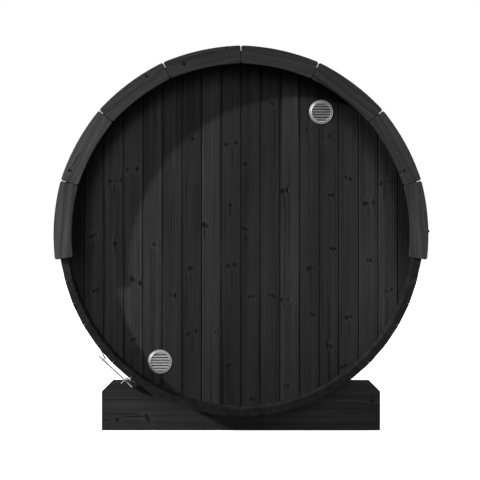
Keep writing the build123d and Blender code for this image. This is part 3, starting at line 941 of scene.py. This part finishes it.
# a flat strip bent onto the barrel, length long round it from startAngle at its lower edge, its underside
# raised by lift(way up the strip)
def bentStrip(startAngle, length, y0, y1, thickness, cuts, lift):
    bm = bmesh.new()
    made = bmesh.ops.create_cube(bm, size=1)["verts"]
    bmesh.ops.scale(bm, vec=(length, y1 - y0, thickness), verts=made)
    bmesh.ops.translate(bm, vec=(length / 2, (y0 + y1) / 2, thickness / 2), verts=made)
    rising = [edge for edge in bm.edges if abs(edge.verts[0].co.x - edge.verts[1].co.x) > length / 2]
    bmesh.ops.subdivide_edges(bm, edges=rising, cuts=cuts, use_grid_fill=True)
    for vert in bm.verts:
        angle = startAngle + vert.co.x / roof["bedRadius"]
        radius = roof["bedRadius"] + vert.co.z + lift(vert.co.x)
        vert.co = (radius * math.cos(angle), vert.co.y, axisHeight + radius * math.sin(angle))
    return bm


# the tabs of one course from end to end, as (start, end) along the barrel
def tabSpans(offset):
    spans = []
    y = -halfLength - offset
    while y < halfLength:
        low = max(y + roof["slot"] / 2, -halfLength + roof["edge"])
        high = min(y + roof["tabLength"] - roof["slot"] / 2, halfLength - roof["edge"])
        if high - low > roof["shortestTab"]:
            spans.append((low, high))
        y += roof["tabLength"]
    return spans


def shingles():
    lowest = math.radians(roof["lowest"])
    top = math.pi / 2
    course = roof["exposure"] / roof["bedRadius"]
    length = roof["exposure"] + roof["overlap"]
    thickness = roof["thickness"]
    strips = []
    for row in range(math.ceil((top - lowest) / course)):
        start = lowest + row * course
        reach = min(length, (top - start) * roof["bedRadius"])
        for y0, y1 in tabSpans(roof["tabLength"] / 2 * (row % 2)):
            for mirrored in (False, True):
                strip = bentStrip(start, reach, y0, y1, thickness, roof["tabCuts"],
                                  lambda x: thickness * max(0, 1 - x / length))
                if mirrored:
                    bmesh.ops.scale(strip, vec=(-1, 1, 1), verts=strip.verts[:])
                strips.append(strip)
    ridgeStart = top - length / 2 / roof["bedRadius"]
    for y0, y1 in tabSpans(0):
        # the tabs that bend over the top
        strips.append(bentStrip(ridgeStart, length, y0, y1, thickness, roof["tabCuts"], lambda x: thickness))
    around = (math.pi - 2 * lowest) * roof["bedRadius"]
    end = halfLength - roof["edge"]
    strips.append(bentStrip(lowest, around, -end, end, roof["underlay"], roof["underlayCuts"],
                            lambda x: -roof["underlay"]))
    numbers = [number for number, strip in enumerate(strips) for _ in strip.verts]
    bm = together(strips)
    bmesh.ops.recalc_face_normals(bm, faces=bm.faces[:])
    mesh = toMesh(bm, "roof_shingles")
    setAttribute(mesh, "board", "FLOAT", numbers)
    return mesh


newPiece("roof_shingles", shingles(), roofFelt, "roof_felt", "roof_covering")
print("roof laid")


# studio: a pale floor, a white page behind, a key light from the upper left, a soft light from the front, one
# from the rear and a little even fill
studio = {
    "floorReach": 30,
    "floorColour": (0.86, 0.86, 0.86),
    "floorMottle": (0.3, 0.7, 0.985, 1.0),
    "floorGlow": 0.96,
    "floorBounce": (0.2, 0.2, 0.2, 1),
    "evenStrength": 0.2,
    "pageStrength": 1.0,
}
lamps = {
    "key": {"direction": (0.807, 0.396, -0.439), "strength": 4.2, "softness": 2.5},
    "front": {"direction": (-0.22, 0.92, -0.33), "strength": 1.2, "softness": 45},
    "rear": {"direction": (-0.56, -0.69, -0.46), "strength": 4.0, "softness": 30},
}


def floorMaterial():
    material, tree = newMaterial("floor_paper")
    mottle = noise(tree, objectPlace(tree), (2, 2, 2), 4, 0.6)
    colour = scaled(tree, studio["floorColour"], remap(tree, mottle, *studio["floorMottle"]))
    matt = {"Base Color": colour, "Roughness": 0.9, "Specular IOR Level": 0.1}
    glow = {"Emission Color": (1, 1, 1, 1), "Emission Strength": studio["floorGlow"]}
    seen = addNode(tree, "BsdfPrincipled", {**matt, **glow})
    bounce = addNode(tree, "BsdfDiffuse", {"Color": studio["floorBounce"]})
    paper = addNode(tree, "MixShader", {0: addNode(tree, "LightPath").outputs["Is Camera Ray"],
                                        1: bounce.outputs[0], 2: seen.outputs[0]})
    addNode(tree, "OutputMaterial", {"Surface": paper.outputs[0]})
    return material


floorBm = bmesh.new()
bmesh.ops.create_grid(floorBm, x_segments=1, y_segments=1, size=studio["floorReach"])
floorMesh = toMesh(floorBm, "floor")
floorMesh.materials.append(floorMaterial())
floor = bpy.data.objects.new("floor", floorMesh)
bpy.context.scene.collection.objects.link(floor)

for lampName, lamp in lamps.items():
    light = bpy.data.lights.new(lampName, "SUN")
    light.energy = lamp["strength"]
    light.angle = math.radians(lamp["softness"])
    lampObject = bpy.data.objects.new(lampName, light)
    lampObject.rotation_euler = Vector(lamp["direction"]).to_track_quat("-Z", "Y").to_euler()
    bpy.context.scene.collection.objects.link(lampObject)

world = bpy.data.worlds.new("studio")
bpy.context.scene.world = world
world.use_nodes = True
sky = world.node_tree
sky.nodes.clear()
even = addNode(sky, "Background", {"Color": (1, 1, 1, 1), "Strength": studio["evenStrength"]})
page = addNode(sky, "Background", {"Color": (1, 1, 1, 1), "Strength": studio["pageStrength"]})
both = addNode(sky, "MixShader", {0: addNode(sky, "LightPath").outputs["Is Camera Ray"],
                                  1: even.outputs[0], 2: page.outputs[0]})
addNode(sky, "OutputWorld", {"Surface": both.outputs[0]})
bpy.context.scene.view_settings.view_transform = "Standard"
print("studio lit")
